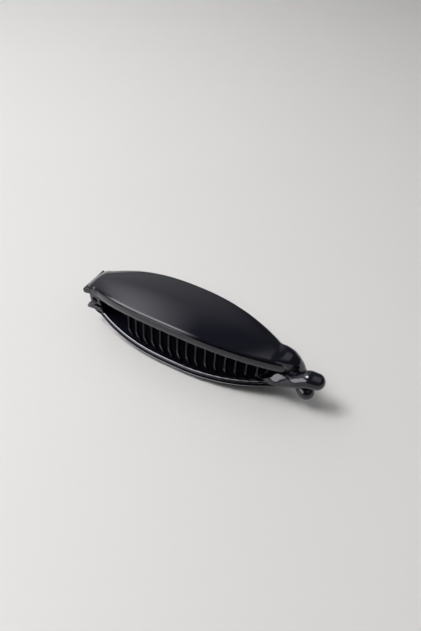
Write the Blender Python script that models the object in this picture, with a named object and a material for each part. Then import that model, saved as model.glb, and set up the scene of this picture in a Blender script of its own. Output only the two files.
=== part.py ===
# Banana hair clip, closed, lying on the dome of its lower arm.
# X runs along the clip from the hinge (minus X) to the clasp (plus X).
# Y runs across the clip, the front row of teeth is on the minus Y side.
# Z is up and the surface under the clip is at Z = 0.
import math

import bmesh
import bpy
import numpy as np
from mathutils import Matrix, Vector

for old in list(bpy.data.objects):
    bpy.data.objects.remove(old, do_unlink=True)

MM = 0.001

# Leaf of each arm: half width and bow above the middle plane, in millimetres.
LEAF_HALF_WIDTH = 12.5
LEAF_WIDE_AT = -8.7
LEAF_REACH_HINGE = 50.7
LEAF_REACH_CLASP = 53.2
LEAF_POWER = 2.45
BOW_HEIGHT = 12.65
BOW_AT = -7.7
BOW_REACH_HINGE = 63.8
BOW_REACH_CLASP = 66.8
BOW_POWER = 2.12
CROWN = 1.6
CROWN_STEPS = (-0.8, -0.52, -0.24, 0.24, 0.52, 0.8)
REST_FLAT = 0.1
PLATE_EDGE = 1.1
GROOVE_TALL = 0.75
GROOVE_DEEP = 0.95
PLATE_THICK = 1.9
LIP_INSET = 0.5
LIP_THICK = 1.3
LIP_DEPTH = 2.9
BAND_DEPTH = 5.35
BAND_EXTRA = 0.6
SHELL_START = -46.6
SHELL_END = 38.6
HOLLOW_END = 33.0

# Comb teeth on the deep lip of each arm.
TEETH = 15
TOOTH_FIRST = -26.5
TOOTH_PITCH = 4.0
TOOTH_WIDE = 1.0
TOOTH_DEEP = 1.7
TOOTH_ELBOW_OUT = 0.75
TOOTH_TIP_IN = 1.65
TOOTH_TIP_LIFT = 2.7

# Hinge: fishtail tab, two cheeks on each arm and one pin through all four.
PIN_X = -48.5
PIN_RADIUS = 1.1
HOLE_RADIUS = 1.4
PIN_HALF = 5.5
CHEEK_RADIUS = 2.25
CHEEK_OUT = 5.9
CHEEK_THICK = 1.5
CHEEK_GAP = 0.35
TAB_CHAMFER = 0.5
UPPER_TAB = (2.6, 5.05, -53.3)
LOWER_TAB = (3.75, 5.6, -52.8)
TAB_EAR = 6.95
TAB_WAIST = 5.85
TAB_ROOT = -47.0
OPEN_DEG = 55.0

# Middle plane of the closed clip above the surface, and its centring along X.
MIDDLE = BOW_HEIGHT - 0.9 * REST_FLAT + 0.03 + CROWN * (1.0 - CROWN_STEPS[2] ** 2)
CENTRING = -0.45


def leaf(x, top, peak, reach_hinge, reach_clasp, power):
    away = x - peak
    reach = reach_hinge if away < 0 else reach_clasp
    return top * (1.0 - (abs(away) / reach) ** power)


def half_width(x):
    return leaf(x, LEAF_HALF_WIDTH, LEAF_WIDE_AT, LEAF_REACH_HINGE, LEAF_REACH_CLASP, LEAF_POWER)


def bow(x):
    # The very top of the dome is all but flat, and the closed clip rests on that of its lower arm.
    h = leaf(x, BOW_HEIGHT, BOW_AT, BOW_REACH_HINGE, BOW_REACH_CLASP, BOW_POWER)
    brim = BOW_HEIGHT - REST_FLAT
    return h if h < brim else brim + 0.1 * (h - brim)


def band_depth(x):
    # The deep band grows a little towards the hinge.
    return BAND_DEPTH + BAND_EXTRA * min(1.0, max(0.0, (-25.0 - x) / 20.0))


def new_mesh_object(name, body, collection):
    bmesh.ops.recalc_face_normals(body, faces=body.faces)
    if body.calc_volume(signed=True) < 0.0:
        bmesh.ops.reverse_faces(body, faces=body.faces)
    mesh = bpy.data.meshes.new(name)
    body.to_mesh(mesh)
    body.free()
    thing = bpy.data.objects.new(name, mesh)
    collection.objects.link(thing)
    return thing


def loft(name, rings, collection):
    # Closed body through rings of points, all with the same number of points.
    body = bmesh.new()
    rows = []
    for ring in rings:
        rows.append([body.verts.new(Vector(point) * MM) for point in ring])
    count = len(rows[0])
    for near, far in zip(rows[:-1], rows[1:]):
        for k in range(count):
            nxt = (k + 1) % count
            body.faces.new((near[k], near[nxt], far[nxt], far[k]))
    body.faces.new(list(reversed(rows[0])))
    body.faces.new(rows[-1])
    return new_mesh_object(name, body, collection)


def prism(name, outline, low, high, axis, collection):
    # Flat outline pushed along Y or Z between two values.
    rings = []
    for value in (low, high):
        if axis == "Y":
            rings.append([(a, value, b) for a, b in outline])
        else:
            rings.append([(a, b, value) for a, b in outline])
    return loft(name, rings, collection)


def boolean(target, tool, operation):
    step = target.modifiers.new("step", "BOOLEAN")
    step.operation = operation
    step.solver = "EXACT"
    step.object = tool
    bpy.context.view_layer.update()
    graph = bpy.context.evaluated_depsgraph_get()
    result = bpy.data.meshes.new_from_object(target.evaluated_get(graph))
    target.modifiers.remove(step)
    target.data = result
    bpy.data.objects.remove(tool, do_unlink=True)


def cylinder_y(name, radius, x, z, low, high, sides, collection):
    outline = []
    for k in range(sides):
        turn = 2.0 * math.pi * k / sides
        outline.append((x + radius * math.cos(turn), z + radius * math.sin(turn)))
    return prism(name, outline, low, high, "Y", collection)


def outer_ring(x, w, h, crown, deep, short):
    # Outside of the leaf: low dome, plate edge, groove, then the set-in band and lip.
    room = min(1.0, min(h - deep, h - short) / LIP_DEPTH)
    small = min(1.0, w / 5.0) * room
    edge = 0.5 * small
    inset = LIP_INSET * small
    groove = GROOVE_DEEP * small
    plate = PLATE_EDGE * room
    base = (PLATE_EDGE + GROOVE_TALL) * room
    soft = 0.08 * room
    foot = 0.15 * room
    ring = [(-w, h - plate), (-w, h - plate * 0.4), (-w + edge * 0.3, h - plate * 0.12), (-w + edge, h + 0.02)]
    for u in CROWN_STEPS:
        ring.append((u * w, h + 0.03 + crown * (1.0 - u * u)))
    ring += [(w - edge, h + 0.02), (w - edge * 0.3, h - plate * 0.12), (w, h - plate * 0.4), (w, h - plate)]
    ring += [(w - groove, h - plate - soft), (w - groove, h - base + soft), (w - inset, h - base)]
    ring += [(w - inset, short + foot), (w - inset - foot, short)]
    ring += [(w * 0.3, short), (-w * 0.3, deep)]
    ring += [(-w + inset + foot, deep), (-w + inset, deep + foot)]
    ring += [(-w + inset, h - base), (-w + groove, h - base + soft), (-w + groove, h - plate - soft)]
    return [(x, y, z) for y, z in ring]


def shell_ring(x):
    h = bow(x)
    return outer_ring(x, half_width(x), h, CROWN, h - band_depth(x), h - LIP_DEPTH)


def end_rings():
    # Rounded clasp end of the leaf, its lower edge drawn up towards the dome.
    rings = []
    for x, narrow, deep, short in ((39.4, 0.97, 3.65, 2.85), (40.2, 0.88, 2.5, 2.3)):
        h = bow(x)
        rings.append(outer_ring(x, narrow * half_width(x), h, CROWN, h - deep, h - short))
    return rings


def nose_ring(turn, tab_high, tab_end):
    # Rounded end of the dome that runs down over the fishtail tab.
    fade = math.cos(turn)
    x = SHELL_START + (tab_end + 0.45 - SHELL_START) * math.sin(turn)
    w0 = half_width(SHELL_START)
    h0 = bow(SHELL_START)
    w = 2.3 + (w0 - 2.3) * fade ** 0.9
    base = tab_high - 0.5
    top = tab_high - 0.1 + (h0 - tab_high + 0.1) * fade
    deep = base + (h0 - band_depth(SHELL_START) - base) * fade ** 4
    short = base + (h0 - LIP_DEPTH - base) * fade ** 4
    return outer_ring(x, w, top, CROWN * fade, deep, short)


def hollow_ring(x, drop):
    # Inside of the leaf, open below; the roof drops towards the clasp end.
    h = bow(x)
    inner = half_width(x) - LIP_INSET - LIP_THICK
    ring = []
    for u in (1.0, 0.6, 0.2, -0.2, -0.6, -1.0):
        ring.append((x, u * inner, h - PLATE_THICK - drop + 0.85 * CROWN * (1.0 - u * u)))
    ring += [(x, -inner, h - 8.5), (x, inner, h - 8.5)]
    return ring


def finger_rings(stations, sides):
    # Rings of a curled finger: each station is centre, half width and half thickness.
    centres = [Vector(s[0]) for s in stations]
    rings = []
    for k, station in enumerate(stations):
        before = centres[max(k - 1, 0)]
        after = centres[min(k + 1, len(centres) - 1)]
        along = (after - before).normalized()
        across = Vector((0.0, 1.0, 0.0))
        across = (across - along * across.dot(along)).normalized()
        up = along.cross(across).normalized()
        ring = []
        for m in range(sides):
            turn = 2.0 * math.pi * m / sides
            point = centres[k] + across * station[1] * math.cos(turn) + up * station[2] * math.sin(turn)
            ring.append(tuple(point))
        rings.append(ring)
    # Round tip beyond the last station.
    last = stations[-1]
    along = (centres[-1] - centres[-2]).normalized()
    across = Vector((0.0, 1.0, 0.0))
    across = (across - along * across.dot(along)).normalized()
    up = along.cross(across).normalized()
    for turn_deg in (28.0, 52.0, 72.0, 85.0):
        lift = math.sin(math.radians(turn_deg))
        size = math.cos(math.radians(turn_deg))
        ring = []
        for m in range(sides):
            turn = 2.0 * math.pi * m / sides
            point = centres[-1] + along * last[2] * lift
            point = point + across * last[1] * size * math.cos(turn) + up * last[2] * size * math.sin(turn)
            ring.append(tuple(point))
        rings.append(ring)
    return rings


def smooth_path(points, steps):
    # Catmull-Rom curve through the points; a point is x, y, z, half width, half thickness.
    rows = [np.array(point, float) for point in points]
    rows = [2 * rows[0] - rows[1]] + rows + [2 * rows[-1] - rows[-2]]
    out = []
    for k in range(1, len(rows) - 2):
        a, b, c, d = rows[k - 1], rows[k], rows[k + 1], rows[k + 2]
        for m in range(steps):
            t = m / steps
            mix = 2 * b + (c - a) * t + (2 * a - 5 * b + 4 * c - d) * t * t + (3 * b - a - 3 * c + d) * t ** 3
            out.append(0.5 * mix)
    out.append(rows[-2])
    return [((float(r[0]), float(r[1]), float(r[2])), float(r[3]), float(r[4])) for r in out]


def tooth_rings(x):
    # One comb tooth: upright blade that bows outwards and turns in at its foot.
    w = half_width(x)
    h = bow(x)
    root = h - BAND_DEPTH + 0.6
    tip = -(h - TOOTH_TIP_LIFT)
    elbow = root + 0.5 * (tip - root)
    face = -w + LIP_INSET
    levels = [
        (root, face + 0.02, 1.0, TOOTH_DEEP - 0.45),
        (root - 0.7, face + 0.02, 1.0, TOOTH_DEEP),
        (elbow + 0.8, face - TOOTH_ELBOW_OUT, 1.0, TOOTH_DEEP),
        (elbow - 0.5, face - TOOTH_ELBOW_OUT, 1.0, TOOTH_DEEP),
        (tip + 0.9, face + TOOTH_TIP_IN - 0.15, 0.85, TOOTH_DEEP * 0.75),
        (tip, face + TOOTH_TIP_IN + 0.25, 0.6, TOOTH_DEEP * 0.35),
    ]
    rings = []
    for z, y, size, deep in levels:
        a = TOOTH_WIDE / 2.0 * size
        ring = [(x - a * 0.75, y + 0.2, z), (x - a * 0.4, y, z), (x + a * 0.4, y, z), (x + a * 0.75, y + 0.2, z)]
        ring += [(x + a, y + deep, z), (x - a, y + deep, z)]
        rings.append(ring)
    return rings


def cheek_outline(kind, top):
    # Knuckle round the pin, carried up into the tab and the leaf.
    if kind == "visible":
        outline = [(PIN_X - 2.6, -1.4), (PIN_X - 2.3, -2.0), (PIN_X - 1.7, -2.25), (PIN_X + 1.7, -2.25)]
        outline += [(PIN_X + 3.2, -3.9), (PIN_X + 2.35, -0.2), (PIN_X + 4.2, 2.4), (PIN_X + 4.2, top)]
        return outline + [(PIN_X - 2.6, top)]
    outline = []
    for step in range(9):
        turn = math.radians(180.0 + 15.0 * step)
        outline.append((PIN_X + CHEEK_RADIUS * math.cos(turn), CHEEK_RADIUS * math.sin(turn)))
    if kind == "outer":
        outline += [(PIN_X + 2.2, -1.8), (PIN_X + 2.45, 0.6), (PIN_X + 4.2, 2.4), (PIN_X + 4.2, top)]
    else:
        outline += [(PIN_X + CHEEK_RADIUS, 0.0), (PIN_X + CHEEK_RADIUS, top)]
    return outline + [(PIN_X - CHEEK_RADIUS, top)]


def build_arm(name, hook_points, tab_range, front_cheek, collection):
    tab_low, tab_high, tab_end = tab_range
    noses = [nose_ring(math.radians(turn), tab_high, tab_end) for turn in (86, 79, 70, 60, 48, 34, 18)]
    stations = [float(x) for x in np.linspace(SHELL_START, SHELL_END, 29)]
    arm = loft(name, noses + [shell_ring(x) for x in stations] + end_rings(), collection)

    # Fishtail tab with two ears and a chamfer under its end.
    ears = [
        (tab_end, -TAB_EAR + 0.35), (tab_end + 0.35, -TAB_EAR), (PIN_X - 1.6, -TAB_WAIST - 0.1),
        (TAB_ROOT + 1.0, -TAB_WAIST), (TAB_ROOT + 1.0, TAB_WAIST),
        (PIN_X - 1.6, TAB_WAIST + 0.1), (tab_end + 0.35, TAB_EAR), (tab_end, TAB_EAR - 0.35),
    ]
    rings = []
    for z, cut in ((tab_low, TAB_CHAMFER), (tab_low + TAB_CHAMFER, 0.0), (tab_high, 0.0)):
        rings.append([(max(x, tab_end + cut + (x - tab_end) * 0.5), y, z) for x, y in ears])
    tab = loft("tab", rings, collection)
    boolean(arm, tab, "UNION")

    hollow = [hollow_ring(float(x), 0.0) for x in np.linspace(SHELL_START + 2.1, HOLLOW_END, 25)]
    hollow += [hollow_ring(HOLLOW_END + 1.6, 0.9), hollow_ring(HOLLOW_END + 3.0, 2.4)]
    hollow += [hollow_ring(HOLLOW_END + 4.0, 4.3)]
    cavity = loft("cavity", hollow, collection)
    boolean(arm, cavity, "DIFFERENCE")

    # Outer cheek at the front, inner cheek at the back.
    top = tab_low + 1.2
    outer = prism("cheek", cheek_outline(front_cheek, top), -CHEEK_OUT, -CHEEK_OUT + CHEEK_THICK, "Y", collection)
    boolean(arm, outer, "UNION")
    inner_high = CHEEK_OUT - CHEEK_THICK - CHEEK_GAP
    inner = prism("cheek", cheek_outline("inner", top), inner_high - CHEEK_THICK, inner_high, "Y", collection)
    boolean(arm, inner, "UNION")
    hole = cylinder_y("hole", HOLE_RADIUS, PIN_X, 0.0, -9.0, 9.0, 24, collection)
    boolean(arm, hole, "DIFFERENCE")

    hook = loft("hook", finger_rings(smooth_path(hook_points, 3), 14), collection)
    boolean(arm, hook, "UNION")

    for k in range(TEETH):
        tooth = loft("tooth", tooth_rings(TOOTH_FIRST + k * TOOTH_PITCH), collection)
        boolean(arm, tooth, "UNION")
    return arm


def tidy(arm):
    body = bmesh.new()
    body.from_mesh(arm.data)
    bmesh.ops.remove_doubles(body, verts=body.verts, dist=0.00001)
    bmesh.ops.dissolve_degenerate(body, edges=body.edges, dist=0.00001)
    bmesh.ops.triangulate(body, faces=body.faces)
    bmesh.ops.recalc_face_normals(body, faces=body.faces)
    body.to_mesh(arm.data)
    body.free()


def black_plastic(name, grey, roughness):
    material = bpy.data.materials.new(name)
    material.use_nodes = True
    shader = material.node_tree.nodes["Principled BSDF"]
    shader.inputs["Base Color"].default_value = (grey, grey, grey * 1.15, 1.0)
    shader.inputs["Roughness"].default_value = roughness
    return material


clip = bpy.data.collections.new("banana_hair_clip")
bpy.context.scene.collection.children.link(clip)
cutters = bpy.data.collections.new("cutters")
bpy.context.scene.collection.children.link(cutters)

# Upper hook curls down behind the lower one and comes out under it.
UPPER_HOOK = [
    (31.9, 0.0, 7.95, 5.6, 0.9), (34.5, 0.3, 7.7, 4.7, 1.9), (37.4, 1.2, 6.7, 4.1, 2.9),
    (39.7, 2.1, 3.5, 3.8, 3.8), (41.3, 2.9, 1.3, 3.3, 3.5), (42.4, 3.15, -0.9, 3.15, 3.3),
    (44.8, 1.7, -4.4, 3.2, 3.2), (48.1, -1.0, -5.8, 3.3, 3.3),
]
# Lower hook rises from the front of its leaf and passes over the upper one.
LOWER_HOOK = [
    (33.6, -0.6, -7.2, 3.4, 1.0), (35.8, -1.8, -6.3, 2.8, 1.3), (38.4, -3.0, -4.5, 2.2, 1.7),
    (41.8, -3.4, -1.6, 1.9, 1.9), (45.0, -2.6, 0.9, 2.8, 2.8), (48.2, -1.6, 2.0, 3.4, 3.4),
    (51.0, -0.9, 1.8, 3.2, 3.2),
]

upper = build_arm("upper_arm", UPPER_HOOK, UPPER_TAB, "visible", clip)
# The lower arm is the same leaf turned half round about X, so its hook path is turned too.
turned_hook = [(x, -y, -z, a, b) for x, y, z, a, b in LOWER_HOOK]
lower = build_arm("lower_arm", turned_hook, LOWER_TAB, "outer", clip)
lower.data.transform(Matrix.Rotation(math.pi, 4, "X"))

pin = cylinder_y("hinge_pin", PIN_RADIUS, PIN_X, 0.0, -PIN_HALF, PIN_HALF, 24, clip)

for thing in (upper, lower, pin):
    tidy(thing)
    thing.data.transform(Matrix.Translation((CENTRING * MM, 0.0, MIDDLE * MM)))

# The moving arm keeps its origin on the hinge axis.
axis_point = Vector(((PIN_X + CENTRING) * MM, 0.0, MIDDLE * MM))
upper.data.transform(Matrix.Translation(-axis_point))
upper.location = axis_point

upper.data.materials.clear()
upper.data.materials.append(black_plastic("gloss black plastic upper", 0.012, 0.22))
lower.data.materials.clear()
lower.data.materials.append(black_plastic("gloss black plastic lower", 0.012, 0.24))
pin.data.materials.clear()
pin.data.materials.append(black_plastic("black pin plastic", 0.02, 0.35))

for spare in cutters.objects:
    spare.hide_render = True
    spare.display_type = "WIRE"
bpy.context.view_layer.update()
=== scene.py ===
# Banana hair clip of glossy black plastic, closed, lying on a plain pale surface.
import bisect
import math

import bmesh
import bpy
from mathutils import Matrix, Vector


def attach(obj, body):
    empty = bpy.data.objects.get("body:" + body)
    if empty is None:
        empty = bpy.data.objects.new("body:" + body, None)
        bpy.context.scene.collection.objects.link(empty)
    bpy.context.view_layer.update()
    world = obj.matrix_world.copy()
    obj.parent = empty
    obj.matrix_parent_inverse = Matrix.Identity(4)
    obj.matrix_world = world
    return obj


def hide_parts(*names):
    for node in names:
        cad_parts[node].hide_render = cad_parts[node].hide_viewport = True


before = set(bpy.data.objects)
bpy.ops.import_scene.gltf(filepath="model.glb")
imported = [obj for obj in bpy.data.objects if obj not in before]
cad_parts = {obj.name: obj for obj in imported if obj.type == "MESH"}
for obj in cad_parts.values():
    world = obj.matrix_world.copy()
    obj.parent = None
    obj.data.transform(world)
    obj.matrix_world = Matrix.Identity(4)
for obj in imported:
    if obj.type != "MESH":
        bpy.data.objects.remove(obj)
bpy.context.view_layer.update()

# Camera. It stands close in front of the clasp end and looks down on the clip
# at about 46 degrees, held a degree off level.
view = bpy.data.cameras.new("clip_view")
view.sensor_fit = "VERTICAL"
view.sensor_height = 36.0
view.lens = 28.53
view.clip_start = 0.01
camera = bpy.data.objects.new("clip_view", view)
bpy.context.scene.collection.objects.link(camera)
camera.location = (0.069886, -0.117752, 0.164992)
camera.rotation_euler = (math.radians(44.2156), math.radians(-0.6974), math.radians(29.5867))
bpy.context.scene.camera = camera
bpy.context.scene.view_settings.view_transform = "Standard"

# Floor. A plain pale board, matt, with the faintest mottle of a painted sheet.
# It is only the stage the clip lies on.
FLOOR_SIZE = 3.0


class Wire:
    """One number, vector or colour on its way through a material's nodes."""

    def __init__(self, tree, socket=None):
        self.tree = tree
        self.socket = socket

    def node(self, kind, settings, feeds, out=0):
        """Adds a node, sets it, feeds its sockets and returns the wire from one of its outputs."""
        made = self.tree.nodes.new(kind)
        for name, value in settings.items():
            setattr(made, name, value)
        for name, value in feeds.items():
            if isinstance(value, Wire):
                value.into(made, name)
            else:
                made.inputs[name].default_value = value
        return Wire(self.tree, made.outputs[out])

    def into(self, node, name):
        """Ends the wire in a socket of the node."""
        self.tree.links.new(self.socket, node.inputs[name])

    def work_out(self, operation, left, right):
        return self.node("ShaderNodeMath", {"operation": operation}, {0: left, 1: right})

    def __add__(self, other):
        return self.work_out("ADD", self, other)

    def __radd__(self, other):
        return self.work_out("ADD", other, self)

    def __sub__(self, other):
        return self.work_out("SUBTRACT", self, other)

    def __rsub__(self, other):
        return self.work_out("SUBTRACT", other, self)

    def __mul__(self, other):
        return self.work_out("MULTIPLY", self, other)

    def __rmul__(self, other):
        return self.work_out("MULTIPLY", other, self)


def new_finish(name):
    """A new material, its shader, and the wire of Object coordinates that its patterns follow."""
    finish = bpy.data.materials.new(name)
    finish.use_nodes = True
    where = Wire(finish.node_tree).node("ShaderNodeTexCoord", {}, {}, "Object")
    return finish, finish.node_tree.nodes["Principled BSDF"], where


board_finish, board_shader, board_where = new_finish("pale board")
mottle = board_where.node(
    "ShaderNodeTexNoise", {}, {"Vector": board_where, "Scale": 14.0, "Detail": 3.0})
board_tone = mottle.node(
    "ShaderNodeMix", {"data_type": "RGBA"},
    {"Factor": mottle, 6: (0.715, 0.702, 0.692, 1.0), 7: (0.735, 0.722, 0.712, 1.0)}, 2)
board_tone.into(board_shader, "Base Color")
board_shader.inputs["Roughness"].default_value = 0.6

bpy.ops.object.select_all(action="DESELECT")
bpy.ops.mesh.primitive_plane_add(size=FLOOR_SIZE, location=(0.0, 0.0, 0.0))
floor = bpy.context.active_object
floor.name = "floor"
floor.data.materials.append(board_finish)

# Light. Two broad soft boxes and a bright key lamp on the left, a low one at the front that
# only shows in the gloss of the lower hook, and a faint one on the right, in a dim room.
LAMP_DISTANCE = 1.0


def soft_box(name, bearing, height, width, tall, glow, edge):
    """A rectangular lamp aimed at the clip from so many degrees round and up.

    It is as bright as glow in its middle and fades to nothing at its edges, from the share
    edge of its half size outwards.
    """
    lamp = bpy.data.lights.new(name, "AREA")
    lamp.shape = "RECTANGLE"
    lamp.size = width
    lamp.size_y = tall
    lamp.energy = glow * math.pi * width * tall
    lamp.use_nodes = True
    start = Wire(lamp.node_tree)
    spot = start.node("ShaderNodeNewGeometry", {}, {}, "Parametric")
    fade = 1.0
    for axis in ("X", "Y"):
        along = start.node("ShaderNodeSeparateXYZ", {}, {"Vector": spot}, axis)
        off_middle = start.node(
            "ShaderNodeMath", {"operation": "ABSOLUTE"}, {0: along * 2.0 - 1.0})
        fade = fade * start.node(
            "ShaderNodeMapRange", {"interpolation_type": "SMOOTHSTEP"},
            {"Value": off_middle, "From Min": edge, "From Max": 1.0, "To Min": 1.0, "To Max": 0.0})
    fade.into(lamp.node_tree.nodes["Emission"], "Strength")
    stand = bpy.data.objects.new(name, lamp)
    bpy.context.scene.collection.objects.link(stand)
    turn = math.radians(bearing)
    rise = math.radians(height)
    stand.location = LAMP_DISTANCE * Vector((
        math.sin(turn) * math.cos(rise), math.cos(turn) * math.cos(rise), math.sin(rise)))
    stand.rotation_euler = (-stand.location).to_track_quat("-Z", "Y").to_euler()
    stand.visible_camera = False
    return stand


soft_box("window_sheet", -62.0, 30.0, 3.2, 2.2, 0.56, 0.0)
soft_box("left_box", -100.0, 52.8, 1.94, 1.08, 1.78, 0.0)
soft_box("key_box", -118.0, 60.5, 0.58, 0.58, 18.0, 0.2)
low_front_box = soft_box("low_front_box", -139.0, 19.0, 1.3, 0.6, 4.5, 0.4)
low_front_box.visible_diffuse = False
soft_box("right_box", 82.0, 54.0, 2.0, 0.95, 0.66, 0.2)
room = bpy.data.worlds.new("room")
room.use_nodes = True
room.node_tree.nodes["Background"].inputs["Color"].default_value = (0.95, 0.97, 1.0, 1.0)
room.node_tree.nodes["Background"].inputs["Strength"].default_value = 0.06
bpy.context.scene.world = room

# Lower leaf. One moulding of glossy black polystyrene, a domed leaf with a rounded plate
# edge, a groove under it and a set-in skirt that is deep on the comb side. It lies on its
# dome: both leaves come from the same shape and this one is turned half round.
# Sizes are in millimetres. Places along the clip run from hinge to clasp, SHIFT takes them to
# the middle of the footprint, and heights are measured from the pin, AXIS_HEIGHT above the floor.
MM = 0.001
AXIS_HEIGHT = 14.098
SHIFT = -0.45
# How close a corner lies to where it is looked for, and to its row of the leaf.
NEAR = 0.01
ROW_NEAR = 0.002
# Half width and edge height along the leaf: the most, where that is, how far from there towards
# the hinge and towards the clasp the curve comes down to nothing, and its power.
WIDTH_CURVE = (12.5, -8.7, 50.7, 53.2, 2.45)
HEIGHT_CURVE = (12.65, -7.7, 63.8, 66.8, 2.12)
# The dome that the clip rests on keeps only this share of what stands out beyond this height.
REST_HEIGHT = 12.49
REST_SHARE = 0.04
LEAF_CROWN = 1.6
LEAF_COLUMNS = 28
BODY_START = -46.6
BODY_END = 38.6
BODY_ROWS = 72
# Depth of the skirt on the comb side, which grows towards the hinge, and on the open side.
BAND_DEPTH = 5.35
BAND_EXTRA = 0.6
BAND_GROWS_FROM = -25.0
BAND_GROWS_OVER = 20.0
LIP_DEPTH = 2.9
# Hinge end: shares of the way from the body to the tab's end at which its rows lie, its slope
# and half width, how far it stops short of the tab's end and top, and how its curves bend.
END_SHARES = (1.0, 0.985, 0.95, 0.89, 0.81, 0.72, 0.62, 0.51, 0.39, 0.27, 0.13)
END_SLOPE = 0.242
END_WIDTH = 3.3
END_SHORT = 0.12
END_LOW = 0.06
END_SKIRT = 0.5
END_BEND = 2.2
END_ROUND = 0.6
CROWN_BEND = 1.6
# Clasp end: place, share of the half width, and the skirt's depth in front and behind.
CLASP_ROWS = (
    (39.0, 0.99, 4.7, 2.9), (39.4, 0.97, 3.65, 2.85),
    (39.8, 0.935, 3.1, 2.6), (40.2, 0.88, 2.5, 2.3),
)
# How far in and how far down each line of the plate's round edge and groove lies. Where the
# half width is under RIM_FULL_WIDTH they are drawn smaller in proportion.
RIM_ROUND = 0.5
RIM_LINES = (
    (0.08, 0.52), (0.0, 0.62), (0.04, 0.7), (0.14, 0.75), (0.34, 0.77), (0.95, 0.77),
    (1.1, 0.88), (1.1, 1.75), (0.98, 1.87),
)
RIM_FULL_WIDTH = 5.0
# Below the groove: how far in, and what share of the way down to the skirt's foot.
COMB_SIDE = (
    (0.55, 0.03), (0.4, 0.09), (0.25, 0.22), (0.14, 0.4),
    (0.09, 0.6), (0.1, 0.85), (0.2, 0.96), (0.5, 1.0),
)
OPEN_SIDE = (
    (0.5, 0.04), (0.38, 0.14), (0.32, 0.3), (0.36, 0.45),
    (0.5, 0.66), (0.74, 0.85), (1.0, 0.96), (1.25, 1.0),
)
# The underside is level across this share of the half width and then bends to either side.
LEVEL_PART = 0.35
LEVEL_BEND = 0.15
# Hollow: where it runs, the walls it leaves, and how its roof comes down at the clasp.
HOLLOW_START = -44.5
HOLLOW_END = 36.2
HOLLOW_ROWS = 52
HOLLOW_FOOT = 4.0
HOLLOW_CROWN = 0.85
HOLLOW_DROP = 4.3
HOLLOW_DROPS_FROM = 33.0
HOLLOW_DROPS_OVER = 4.0
SKIRT_INSET = 0.5
SKIRT_THICK = 1.3
ROOF_THICK = 1.9
SMOOTH_ANGLE = 32.0


def arch(x, top, peak, reach_hinge, reach_clasp, power):
    away = x - peak
    reach = reach_hinge if away < 0 else reach_clasp
    return top * (1.0 - (abs(away) / reach) ** power)


def leaf_width(x):
    return arch(x, *WIDTH_CURVE)


def leaf_height(x, rests):
    h = arch(x, *HEIGHT_CURVE)
    if rests and h > REST_HEIGHT:
        h = REST_HEIGHT + REST_SHARE * (h - REST_HEIGHT)
    return h


def band_depth(x):
    grown = min(1.0, max(0.0, (BAND_GROWS_FROM - x) / BAND_GROWS_OVER))
    return BAND_DEPTH + BAND_EXTRA * grown


def pick(test):
    """Selects the corners in view that pass the test, and the edges and faces between them."""
    bpy.ops.mesh.select_all(action="DESELECT")
    sheet = bmesh.from_edit_mesh(bpy.context.object.data)
    for corner in sheet.verts:
        if not corner.hide and test(corner.co):
            corner.select_set(True)
    sheet.select_flush(True)
    bmesh.update_edit_mesh(bpy.context.object.data)


def move(x, y, z):
    bpy.ops.transform.translate(value=(x * MM, y * MM, z * MM))


def squeeze(x, y, z, about):
    bpy.ops.transform.resize(value=(x, y, z), center_override=about)


def take(piece):
    """Makes the piece the one selected and active object."""
    bpy.ops.object.select_all(action="DESELECT")
    bpy.context.view_layer.objects.active = piece
    piece.select_set(True)


def face_outwards():
    """Turns the faces of a closed mesh outwards and leaves edit mode."""
    bpy.ops.mesh.select_all(action="SELECT")
    bpy.ops.mesh.normals_make_consistent(inside=False)
    bpy.ops.object.mode_set(mode="OBJECT")


def domed_sheet(name, rows):
    """A flat grid drawn in, row by row, to the leaf's outline, bow and crown."""
    steps = len(rows) - 1
    bpy.ops.object.select_all(action="DESELECT")
    bpy.ops.mesh.primitive_grid_add(x_subdivisions=steps, y_subdivisions=LEAF_COLUMNS, size=steps)
    sheet = bpy.context.object
    sheet.name = name
    bpy.ops.object.mode_set(mode="EDIT")
    bpy.ops.transform.translate(value=(steps / 2.0, 0.0, 0.0))
    squeeze(1.0, 2.0 / steps, 1.0, (0.0, 0.0, 0.0))
    for k in range(LEAF_COLUMNS + 1):
        across = -1.0 + 2.0 * k / LEAF_COLUMNS
        pick(lambda c: abs(c.y - across) < NEAR)
        bpy.ops.transform.translate(value=(0.0, 0.0, 1.0 - across * across))
    for k, (x, w, h, crown) in enumerate(rows):
        pick(lambda c: abs(c.x - k) < NEAR)
        squeeze(1.0, w * MM, crown * MM, (k, 0.0, 0.0))
        bpy.ops.transform.translate(
            value=((x + SHIFT) * MM - k, 0.0, (h + AXIS_HEIGHT) * MM))
    bpy.ops.mesh.select_all(action="SELECT")
    return sheet


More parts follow.
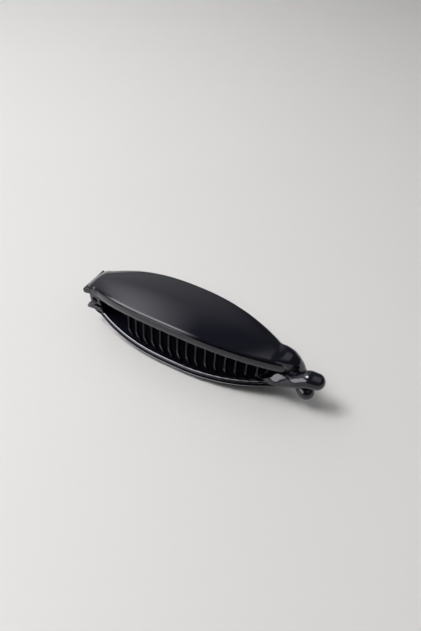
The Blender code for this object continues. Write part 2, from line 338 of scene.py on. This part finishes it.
def leaf_rows(tab_high, tab_end, rests):
    """Rows from tab to clasp: place, half width, edge height, crown, skirt in front and behind."""
    rows = []
    body_width = leaf_width(BODY_START)
    body_height = leaf_height(BODY_START, rests)
    base = tab_high - END_SKIRT
    length = BODY_START - tab_end - END_SHORT
    fall = body_height - END_SLOPE * length - tab_high + END_LOW
    for share in END_SHARES:
        x = BODY_START - length * share
        left = 1.0 - share
        h = body_height - END_SLOPE * length * share - fall * share ** END_BEND
        deep = h - base - (body_height - band_depth(BODY_START) - base) * left ** 2
        short = h - base - (body_height - LIP_DEPTH - base) * left ** 2
        w = END_WIDTH + (body_width - END_WIDTH) * (1.0 - share ** END_BEND) ** END_ROUND
        rows.append((x, w, h, LEAF_CROWN * (1.0 - share ** CROWN_BEND), deep, short))
    for k in range(BODY_ROWS):
        x = BODY_START + (BODY_END - BODY_START) * k / (BODY_ROWS - 1)
        h = leaf_height(x, rests)
        rows.append((x, leaf_width(x), h, LEAF_CROWN, band_depth(x), LIP_DEPTH))
    for x, narrow, deep, short in CLASP_ROWS:
        h = leaf_height(x, rests)
        rows.append((x, narrow * leaf_width(x), h, LEAF_CROWN, deep, short))
    return rows


def draw_down(rows, before, after):
    """Pushes the underside out one step and takes it from one line of the rim to the next.

    For each row, a line gives how far in and how far down it lies in front, then behind.
    """
    bpy.ops.mesh.reveal(select=False)
    bpy.ops.mesh.extrude_region_move()
    bpy.ops.mesh.hide(unselected=True)
    sheet = bmesh.from_edit_mesh(bpy.context.object.data)
    places = [(row[0] + SHIFT) * MM - ROW_NEAR * MM for row in rows]
    for corner in sheet.verts:
        if corner.hide:
            continue
        k = bisect.bisect(places, corner.co.x) - 1
        w = rows[k][1]
        old, new = before[k], after[k]
        side = 0 if corner.co.y < 0.0 else 2
        edge = abs(corner.co.y) / (w * MM)
        share = min(1.0, max(0.0, (edge - LEVEL_PART) / LEVEL_BEND))
        middle = 0.5 * ((new[1] - old[1]) + (new[3] - old[3]))
        down = middle + ((new[side + 1] - old[side + 1]) - middle) * share
        corner.co.y *= (w - new[side]) / (w - old[side])
        corner.co.z -= down * MM
    bmesh.update_edit_mesh(bpy.context.object.data)


def cut_or_join(piece, other, operation):
    take(piece)
    step = piece.modifiers.new("step", "BOOLEAN")
    step.operation = operation
    step.solver = "EXACT"
    step.material_mode = "TRANSFER"
    step.object = other
    bpy.ops.object.modifier_apply(modifier="step")
    bpy.data.objects.remove(other, do_unlink=True)


def black_plastic(name, tint, roughness, grain_size):
    """Gloss black polystyrene: a clear skin with faint flow marks and a little orange peel."""
    finish, shader, where = new_finish(name)
    flow = where.node(
        "ShaderNodeTexNoise", {}, {"Vector": where, "Scale": grain_size, "Detail": 4.0})
    cloud = where.node(
        "ShaderNodeTexNoise", {}, {"Vector": where, "Scale": 0.3 * grain_size, "Detail": 2.0})
    deep = tuple(0.8 * channel for channel in tint) + (1.0,)
    pale = tuple(1.3 * channel for channel in tint) + (1.0,)
    tone = cloud.node(
        "ShaderNodeMix", {"data_type": "RGBA"}, {"Factor": cloud, 6: deep, 7: pale}, 2)
    peel = where.node(
        "ShaderNodeTexNoise", {}, {"Vector": where, "Scale": 8.0 * grain_size, "Detail": 2.0})
    bump = peel.node(
        "ShaderNodeBump", {}, {"Height": peel, "Strength": 0.05, "Distance": 0.00002}, "Normal")
    rough = flow * 0.04 + roughness
    tone.into(shader, "Base Color")
    rough.into(shader, "Roughness")
    bump.into(shader, "Normal")
    shader.inputs["IOR"].default_value = 1.57
    shader.inputs["Specular Tint"].default_value = (0.94, 0.94, 1.0, 1.0)
    return finish


def painted_shade_finish(name):
    """Matt black for the inner faces and the pin's sunk end, with a darker, bluish base colour and
    weak gloss that are painted shade.
    """
    finish, shader, where = new_finish(name)
    grain = where.node(
        "ShaderNodeTexNoise", {}, {"Vector": where, "Scale": 900.0, "Detail": 2.0})
    # The darker, bluish base colour is painted shade in the hollow, not a colour of the plastic.
    tone = grain.node(
        "ShaderNodeMix", {"data_type": "RGBA"},
        {"Factor": grain, 6: (0.0022, 0.0022, 0.0075, 1.0), 7: (0.0034, 0.0034, 0.011, 1.0)}, 2)
    rough = grain * 0.2 + 0.45
    tone.into(shader, "Base Color")
    rough.into(shader, "Roughness")
    shader.inputs["IOR"].default_value = 1.47
    shader.inputs["Specular IOR Level"].default_value = 0.12
    return finish


def make_plate(name, rows, gloss):
    """The solid leaf: a domed sheet pushed down round its rim and groove to the skirt's foot."""
    scales = []
    for x, w, h, crown, deep, short in rows:
        room = min(1.0, min(deep, short) / LIP_DEPTH)
        scales.append((room, min(1.0, w / RIM_FULL_WIDTH) * room))
    leaf = domed_sheet(
        name, [(r[0], r[1] - RIM_ROUND * s[1], r[2], r[3]) for r, s in zip(rows, scales)])
    leaf.data.materials.append(gloss)
    before = [(RIM_ROUND * small, 0.0) * 2 for room, small in scales]
    for inset, depth in RIM_LINES:
        after = [(inset * small, depth * room) * 2 for room, small in scales]
        draw_down(rows, before, after)
        before = after
    # The underside is made level across, row by row.
    for k, (x, w, h, crown, deep, short) in enumerate(rows):
        edge = (x + SHIFT) * MM
        pick(lambda c: abs(c.x - edge) < ROW_NEAR * MM)
        squeeze(1.0, 1.0, 0.0, (0.0, 0.0, (h + AXIS_HEIGHT - before[k][1]) * MM))
    pick(lambda c: True)
    groove = RIM_LINES[-1][1]
    for (front_in, front_share), (back_in, back_share) in zip(COMB_SIDE, OPEN_SIDE):
        after = []
        for (x, w, h, crown, deep, short), (room, small) in zip(rows, scales):
            start = groove * room
            after.append((
                front_in * small, start + (deep - start) * front_share,
                back_in * small, start + (short - start) * back_share))
        draw_down(rows, before, after)
        before = after
    bpy.ops.mesh.reveal(select=False)
    face_outwards()
    return leaf


def make_hollow(rests, inside):
    """What is taken out under the leaf, open below."""
    rows = []
    for k in range(HOLLOW_ROWS):
        x = HOLLOW_START + (HOLLOW_END - HOLLOW_START) * k / (HOLLOW_ROWS - 1)
        drop = HOLLOW_DROP * max(0.0, (x - HOLLOW_DROPS_FROM) / HOLLOW_DROPS_OVER) ** 2
        rows.append((
            x, leaf_width(x) - SKIRT_INSET - SKIRT_THICK,
            leaf_height(x, rests) - ROOF_THICK - drop, HOLLOW_CROWN * LEAF_CROWN))
    hollow = domed_sheet("hollow", rows)
    bpy.ops.mesh.extrude_region_move()
    squeeze(1.0, 1.0, 0.0, (0.0, 0.0, (AXIS_HEIGHT - HOLLOW_FOOT) * MM))
    face_outwards()
    # The hollow's faces become the leaf's inner faces and carry the dark finish that paints their
    # shade.
    hollow.data.materials.append(inside)
    return hollow


def make_leaf(name, tab_high, tab_end, rests, gloss, inside):
    leaf = make_plate(name, leaf_rows(tab_high, tab_end, rests), gloss)
    cut_or_join(leaf, make_hollow(rests, inside), "DIFFERENCE")
    return leaf


def turn_over(piece):
    """Turns a piece of the lower arm half round about the clip's middle line."""
    take(piece)
    bpy.ops.object.mode_set(mode="EDIT")
    bpy.ops.mesh.select_all(action="SELECT")
    bpy.ops.transform.rotate(
        value=math.pi, orient_axis="X", center_override=(0.0, 0.0, AXIS_HEIGHT * MM))
    bpy.ops.object.mode_set(mode="OBJECT")


def finish_piece(piece, body, node):
    take(piece)
    bpy.ops.object.shade_smooth_by_angle(angle=math.radians(SMOOTH_ANGLE))
    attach(piece, body)
    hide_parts(node)


LOWER_TAB_HIGH = 5.6
LOWER_TAB_END = -52.8
lower_gloss = black_plastic("lower gloss black", (0.0062, 0.0062, 0.0112), 0.05, 60.0)
# The inner faces get a darker, duller black: painted shade inside the leaf.
lower_painted_shade = painted_shade_finish("lower inside painted shade")
lower_leaf = make_leaf(
    "lower_leaf", LOWER_TAB_HIGH, LOWER_TAB_END, True, lower_gloss, lower_painted_shade)

# Hinge end of the lower arm: a fishtail tab with two ears, an outer and an inner cheek
# that stand up from it, and the hole for the pin through both. All are moulded on.
PIN_X = -48.5
HOLE_RADIUS = 1.4
HOLE_LENGTH = 18.0
KNUCKLE = 2.25
CHEEK_OUT = 5.9
CHEEK_THICK = 1.5
CHEEK_GAP = 0.35
CHEEK_IN_TAB = 1.2
CHEEK_SOFT = 0.08
TAB_EAR = 6.95
TAB_WAIST_PAST_PIN = 1.6
TAB_SOFT = 0.07
TAB_CHAMFER = 0.5
EAR_BEVEL = 0.18
SOFT_FROM_ANGLE = 25.0
# Corners of the outer cheeks, along the clip and up from the pin: the whole of the square one,
# and the foot of the round one beyond its knuckle.
SQUARE_CHEEK = [
    (-2.6, -1.3), (-2.45, -1.85), (-2.1, -2.15), (-1.6, -2.25), (1.7, -2.25), (3.0, -3.5),
    (2.35, -0.2), (3.0, 1.2), (4.2, 2.4),
]
ROUND_CHEEK_FOOT = [(2.2, -1.8), (2.45, 0.6), (4.2, 2.4)]


def place(x, z):
    """Where a place along the clip and a height above the pin lie in the scene."""
    return (x + SHIFT) * MM, (z + AXIS_HEIGHT) * MM


def soften(piece, width):
    step = piece.modifiers.new("soft edges", "BEVEL")
    step.width = width * MM
    step.segments = 2
    step.limit_method = "ANGLE"
    step.angle_limit = math.radians(SOFT_FROM_ANGLE)
    bpy.ops.object.modifier_apply(modifier="soft edges")


def make_tab(low, high, end, waist, root, gloss):
    """A block from root to end, drawn out to two ears at its end."""
    bpy.ops.object.select_all(action="DESELECT")
    bpy.ops.mesh.primitive_cube_add(size=1.0)
    tab = bpy.context.object
    tab.data.materials.append(gloss)
    end_x, low_z = place(end, low)
    root_x, high_z = place(root, high)
    waist_x = place(PIN_X - TAB_WAIST_PAST_PIN, 0.0)[0]
    bpy.ops.object.mode_set(mode="EDIT")
    squeeze(root_x - end_x, 2.0 * waist * MM, high_z - low_z, (0.0, 0.0, 0.0))
    bpy.ops.transform.translate(
        value=((root_x + end_x) / 2.0, 0.0, (high_z + low_z) / 2.0))
    bpy.ops.mesh.bisect(plane_co=(waist_x, 0.0, 0.0), plane_no=(1.0, 0.0, 0.0))
    pick(lambda c: c.x < end_x + NEAR * MM)
    squeeze(1.0, TAB_EAR / waist, 1.0, (0.0, 0.0, 0.0))
    # The corners of the ears are cut, and the end is chamfered underneath.
    for side in (-1.0, 1.0):
        pick(lambda c: c.x < end_x + NEAR * MM and c.y * side > 0.0)
        bpy.ops.mesh.bevel(offset=EAR_BEVEL * MM, segments=2, affect="EDGES")
    pick(lambda c: c.x < end_x + TAB_CHAMFER * MM and c.z < low_z + NEAR * MM)
    bpy.ops.mesh.bevel(offset=TAB_CHAMFER * MM, segments=1, affect="EDGES")
    face_outwards()
    soften(tab, TAB_SOFT)
    return tab


def cheek_outline(kind, top):
    """Corners of a cheek, along the clip and up from the pin; top lies inside the tab."""
    if kind == "square":
        return SQUARE_CHEEK + [(SQUARE_CHEEK[-1][0], top), (SQUARE_CHEEK[0][0], top)]
    outline = []
    for degrees in range(180, 301, 10):
        turn = math.radians(degrees)
        outline.append((KNUCKLE * math.cos(turn), KNUCKLE * math.sin(turn)))
    if kind == "round":
        outline += ROUND_CHEEK_FOOT + [(ROUND_CHEEK_FOOT[-1][0], top)]
    else:
        outline += [(KNUCKLE, 0.0), (KNUCKLE, top)]
    return outline + [(-KNUCKLE, top)]


def make_cheek(kind, top, near, gloss):
    """A flat plate with the cheek's outline, from near across the clip to its far face."""
    outline = cheek_outline(kind, top)
    bpy.ops.object.select_all(action="DESELECT")
    bpy.ops.mesh.primitive_circle_add(
        vertices=len(outline), radius=KNUCKLE * MM, fill_type="NGON")
    cheek = bpy.context.object
    cheek.data.materials.append(gloss)
    for corner, (x, z) in zip(cheek.data.vertices, outline):
        across, up = place(PIN_X + x, z)
        corner.co = (across, near * MM, up)
    bpy.ops.object.mode_set(mode="EDIT")
    bpy.ops.mesh.select_all(action="SELECT")
    bpy.ops.mesh.extrude_region_move(
        TRANSFORM_OT_translate={"value": (0.0, CHEEK_THICK * MM, 0.0)})
    face_outwards()
    soften(cheek, CHEEK_SOFT)
    return cheek


def add_hinge_end(leaf, low, high, end, waist, root, kind, gloss):
    """Joins the tab and both cheeks to the leaf and bores the hole for the pin."""
    cut_or_join(leaf, make_tab(low, high, end, waist, root, gloss), "UNION")
    top = low + CHEEK_IN_TAB
    cut_or_join(leaf, make_cheek(kind, top, -CHEEK_OUT, gloss), "UNION")
    inner = CHEEK_OUT - CHEEK_THICK - CHEEK_GAP
    cut_or_join(leaf, make_cheek("inner", top, inner - CHEEK_THICK, gloss), "UNION")
    hole_x, hole_z = place(PIN_X, 0.0)
    bpy.ops.object.select_all(action="DESELECT")
    bpy.ops.mesh.primitive_cylinder_add(
        vertices=48, radius=HOLE_RADIUS * MM, depth=HOLE_LENGTH * MM,
        location=(hole_x, 0.0, hole_z), rotation=(math.pi / 2.0, 0.0, 0.0))
    hole = bpy.context.object
    hole.data.materials.append(gloss)
    bpy.ops.object.transform_apply(location=True, rotation=True, scale=True)
    cut_or_join(leaf, hole, "DIFFERENCE")


add_hinge_end(
    lower_leaf, low=3.75, high=LOWER_TAB_HIGH, end=LOWER_TAB_END, waist=6.6, root=-44.8,
    kind="round", gloss=lower_gloss)

# Lower hook. The leaf runs out into a strip of the same moulding that stands half on edge,
# passes in front of the upper arm's finger and over it, and ends in a round knob.
# Each point: place, across, height, half width, half thickness and roll in degrees.
LOWER_HOOK = (
    (29.6, -0.9, -6.3, 3.2, 0.7, 20.0), (32.0, -1.9, -4.6, 3.4, 0.9, 36.0),
    (34.8, -2.6, -3.1, 3.5, 1.0, 42.0), (38.0, -3.0, -1.9, 3.3, 1.0, 46.0),
    (40.9, -3.6, -0.8, 2.7, 1.2, 50.0), (43.3, -3.95, 0.5, 2.4, 1.5, 51.0),
    (45.6, -2.95, 1.6, 2.9, 2.4, 42.0), (48.2, -1.7, 2.4, 3.5, 3.5, 14.0),
    (51.1, -0.9, 2.2, 3.3, 3.25, 0.0),
)
HOOK_SIDES = 36
HOOK_STEPS = 8
# Degrees round the knob's end at which its last rings lie.
KNOB_END = (0, 12, 24, 36, 48, 60, 70, 79, 86)


def bend_through(points):
    """The smooth path through a hook's points, in HOOK_STEPS steps from one to the next."""
    rows = [Vector(point) for point in points]
    rows = [2.0 * rows[0] - rows[1]] + rows + [2.0 * rows[-1] - rows[-2]]
    path = []
    for a, b, c, d in zip(rows[:-3], rows[1:-2], rows[2:-1], rows[3:]):
        for k in range(HOOK_STEPS):
            t = k / HOOK_STEPS
            path.append(0.5 * (2.0 * b + (c - a) * t + (2.0 * a - 5.0 * b + 4.0 * c - d) * t * t
                               + (3.0 * b - a - 3.0 * c + d) * t ** 3))
    path.append(rows[-2])
    return path


def hook_rings(points):
    """Each ring of a hook: its point on the path and the way the path runs there."""
    path = bend_through(points)
    rings = []
    for k, row in enumerate(path[:-1]):
        rings.append((row, Vector((path[k + 1] - path[max(k - 1, 0)])[:3]).normalized()))
    heading = Vector((path[-1] - path[-2])[:3]).normalized()
    for degrees in KNOB_END:
        row = path[-1].copy()
        for axis in range(3):
            row[axis] += heading[axis] * math.sin(math.radians(degrees)) * path[-1][4]
        row[3] *= math.cos(math.radians(degrees))
        row[4] *= math.cos(math.radians(degrees))
        rings.append((row, heading))
    return rings


def make_hook(name, points, gloss):
    """A rod drawn out ring by ring; each ring is then made oval, turned and set on the path."""
    rings = hook_rings(points)
    bpy.ops.object.select_all(action="DESELECT")
    bpy.ops.mesh.primitive_circle_add(
        vertices=HOOK_SIDES, radius=1.0, fill_type="NGON", rotation=(0.0, math.pi / 2.0, 0.0))
    hook = bpy.context.object
    hook.name = name
    bpy.ops.object.transform_apply(location=False, rotation=True, scale=False)
    hook.data.materials.append(gloss)
    bpy.ops.object.mode_set(mode="EDIT")
    for k in range(len(rings) - 1):
        bpy.ops.mesh.extrude_region_move(TRANSFORM_OT_translate={"value": (1.0, 0.0, 0.0)})
    for k, ((x, y, z, half_width, half_thick, roll), heading) in enumerate(rings):
        pick(lambda c: abs(c.x - k) < NEAR)
        middle = (k, 0.0, 0.0)
        squeeze(1.0, half_width * MM, half_thick * MM, middle)
        for axis, turn in (
            ("X", math.radians(roll)), ("Z", math.asin(heading.y)),
            ("Y", -math.atan2(heading.z, heading.x)),
        ):
            bpy.ops.transform.rotate(value=-turn, orient_axis=axis, center_override=middle)
        across, up = place(x, z)
        bpy.ops.transform.translate(value=(across - k, y * MM, up))
    face_outwards()
    return hook


lower_hook = make_hook(
    "lower_hook", [(x, -y, -z, *shape) for x, y, z, *shape in LOWER_HOOK], lower_gloss)

# Lower comb. Fifteen blades of the same moulding stand on the deep skirt, each a thin wedge
# with its narrow edge outwards, bowed out to an elbow and turned in again at its foot.
TEETH = 15
TOOTH_FIRST = -26.5
TOOTH_PITCH = 4.0
TOOTH_IN_SKIRT = 0.6
TOOTH_REACH = 2.7
# Corners of a blade seen from its end: across, and how far behind its edge; 1.0 is its back,
# and whatever lies further behind the edge than BACK_FROM belongs to the back.
BLADE_OUTLINE = ((-0.375, 0.2), (-0.2, 0.0), (0.2, 0.0), (0.375, 0.2), (0.5, 1.0), (-0.5, 1.0))
BACK_FROM = 0.35
# Levels of a blade: what its height is measured from and how far above that it lies, how far
# behind the skirt's face its edge is, its share of the width, and its depth.
BLADE_LEVELS = (
    ("root", 0.0, 0.02, 1.0, 1.25), ("root", -0.7, 0.02, 1.0, 1.7),
    ("half", 1.3, -0.66, 1.0, 1.7), ("half", 0.7, -0.75, 1.0, 1.7),
    ("half", -0.4, -0.75, 1.0, 1.7), ("half", -1.0, -0.62, 0.99, 1.66),
    ("tip", 0.9, 1.5, 0.85, 1.27), ("tip", 0.25, 1.75, 0.75, 0.85), ("tip", 0.0, 1.95, 0.55, 0.5),
)


def comb_plastic(name, wave_size):
    """The same black on the blades, where the mould's marks make the shine dimmer and wavy."""
    finish, shader, where = new_finish(name)
    wave = where.node(
        "ShaderNodeTexNoise", {}, {"Vector": where, "Scale": wave_size, "Detail": 1.0})
    bump = wave.node(
        "ShaderNodeBump", {}, {"Height": wave, "Strength": 0.5, "Distance": 0.0003}, "Normal")
    tone = wave.node(
        "ShaderNodeMix", {"data_type": "RGBA"},
        {"Factor": wave, 6: (0.004, 0.004, 0.010, 1.0), 7: (0.007, 0.007, 0.016, 1.0)}, 2)
    rough = wave * 0.12 + 0.06
    tone.into(shader, "Base Color")
    rough.into(shader, "Roughness")
    bump.into(shader, "Normal")
    shader.inputs["IOR"].default_value = 1.5
    shader.inputs["Specular IOR Level"].default_value = 0.2
    return finish


def tooth_span(x, rests):
    """Root and tip of the tooth that stands at x."""
    h = leaf_height(x, rests)
    return h - BAND_DEPTH + TOOTH_IN_SKIRT, TOOTH_REACH - h


def make_blade(name, rests, finish):
    """The first blade, drawn out level by level from its root."""
    root, tip = tooth_span(TOOTH_FIRST, rests)
    face = SKIRT_INSET - leaf_width(TOOTH_FIRST)
    heights = {"root": root, "half": 0.5 * (root + tip), "tip": tip}
    levels = [
        (heights[mark] + above, face + behind, size, deep)
        for mark, above, behind, size, deep in BLADE_LEVELS]
    bpy.ops.object.select_all(action="DESELECT")
    bpy.ops.mesh.primitive_circle_add(vertices=len(BLADE_OUTLINE), radius=MM, fill_type="NGON")
    blade = bpy.context.object
    blade.name = name
    blade.data.materials.append(finish)
    middle, up = place(TOOTH_FIRST, root)
    edge, back_depth = levels[0][1], levels[0][3]
    for corner, (across, behind) in zip(blade.data.vertices, BLADE_OUTLINE):
        y = edge + (back_depth if behind == 1.0 else behind)
        corner.co = (middle + across * MM, y * MM, up)
    bpy.ops.object.mode_set(mode="EDIT")
    for (z, y, size, deep), (new_z, new_y, new_size, new_deep) in zip(levels[:-1], levels[1:]):
        level, new_level = place(0.0, z)[1], place(0.0, new_z)[1]
        pick(lambda c: abs(c.z - level) < NEAR * MM)
        bpy.ops.mesh.extrude_region_move(
            TRANSFORM_OT_translate={"value": (0.0, (new_y - y) * MM, (new_z - z) * MM)})
        squeeze(new_size / size, 1.0, 1.0, (middle, 0.0, 0.0))
        pick(lambda c: abs(c.z - new_level) < NEAR * MM and c.y > (new_y + BACK_FROM) * MM)
        move(0.0, new_deep - deep, 0.0)
    face_outwards()
    return blade


def make_comb(name, rests, finish):
    """Copies of the first blade, each stretched and set to the skirt at its place."""
    comb = make_blade(name, rests, finish)
    root, tip = tooth_span(TOOTH_FIRST, rests)
    blades = [comb]
    for k in range(1, TEETH):
        x = TOOTH_FIRST + TOOTH_PITCH * k
        new_root, new_tip = tooth_span(x, rests)
        take(comb)
        bpy.ops.object.duplicate()
        blades.append(bpy.context.object)
        bpy.ops.object.mode_set(mode="EDIT")
        bpy.ops.mesh.select_all(action="SELECT")
        stretch = (new_root - new_tip) / (root - tip)
        squeeze(1.0, 1.0, stretch, (0.0, 0.0, (root + AXIS_HEIGHT) * MM))
        move(x - TOOTH_FIRST, leaf_width(TOOTH_FIRST) - leaf_width(x), new_root - root)
        bpy.ops.object.mode_set(mode="OBJECT")
    take(comb)
    for blade in blades:
        blade.select_set(True)
    bpy.ops.object.join()
    return comb


lower_comb = make_comb("lower_comb", True, comb_plastic("lower comb black", 700.0))
for piece in (lower_leaf, lower_hook, lower_comb):
    turn_over(piece)
    finish_piece(piece, "base", "lower_arm")

# Upper leaf. The same moulding the right way up, with the deep skirt towards the front.
# Its gloss is the same black with marks of its own.
UPPER_TAB_HIGH = 5.05
UPPER_TAB_END = -53.3
upper_gloss = black_plastic("upper gloss black", (0.0064, 0.0064, 0.0116), 0.045, 52.0)
# The inner faces get a darker, duller black: painted shade inside the leaf.
upper_painted_shade = painted_shade_finish("upper inside painted shade")
upper_leaf = make_leaf(
    "upper_leaf", UPPER_TAB_HIGH, UPPER_TAB_END, False, upper_gloss, upper_painted_shade)

# Hinge end of the upper arm. It is moulded on like the lower one; its outer cheek has a
# square foot and is the one in front, with the pin's end in it.
add_hinge_end(
    upper_leaf, low=2.6, high=UPPER_TAB_HIGH, end=UPPER_TAB_END, waist=5.85, root=-46.0,
    kind="square", gloss=upper_gloss)

# Upper hook. The leaf swells into a finger that goes down behind the lower hook and comes
# out under it. The swelling is blended into the leaf, as they are one moulding.
UPPER_HOOK = (
    (31.9, 0.0, 7.95, 5.6, 0.9, 0.0), (34.5, 0.3, 7.7, 4.7, 1.9, 0.0),
    (37.4, 1.0, 6.7, 4.4, 2.9, 0.0), (39.7, 1.8, 3.6, 4.2, 3.8, 0.0),
    (41.3, 2.8, 1.3, 3.4, 3.5, 0.0), (42.4, 3.15, -0.9, 3.15, 3.3, 0.0),
    (44.8, 1.7, -4.4, 3.2, 3.2, 0.0), (48.1, -1.0, -5.8, 3.3, 3.3, 0.0),
)
NECK_START = 33.2
NECK_END = 39.6
NECK_LOW = 7.2
cut_or_join(upper_leaf, make_hook("upper_hook", UPPER_HOOK, upper_gloss), "UNION")
take(upper_leaf)
bpy.ops.object.mode_set(mode="EDIT")
neck_start, neck_low = place(NECK_START, NECK_LOW)
neck_end = place(NECK_END, 0.0)[0]
pick(lambda c: neck_start < c.x < neck_end and c.z > neck_low)
bpy.ops.mesh.vertices_smooth(factor=0.5, repeat=10)
bpy.ops.object.mode_set(mode="OBJECT")

# Upper comb. The same fifteen blades of the same black, moulded on and hanging from the
# deep skirt in front.
upper_comb = make_comb("upper_comb", False, comb_plastic("upper comb black", 640.0))
for piece in (upper_leaf, upper_comb):
    finish_piece(piece, "top", "upper_arm")

# Hinge pin. One plain round rod of black plastic, pressed through the cheeks of both
# arms last of all; only its end is in view, sunk in the cheek, and it takes the dark dull
# inner finish as painted shade in the pin hole.
pin_painted_shade = painted_shade_finish("pin end painted shade")
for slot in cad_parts["hinge_pin"].material_slots:
    slot.material = pin_painted_shade
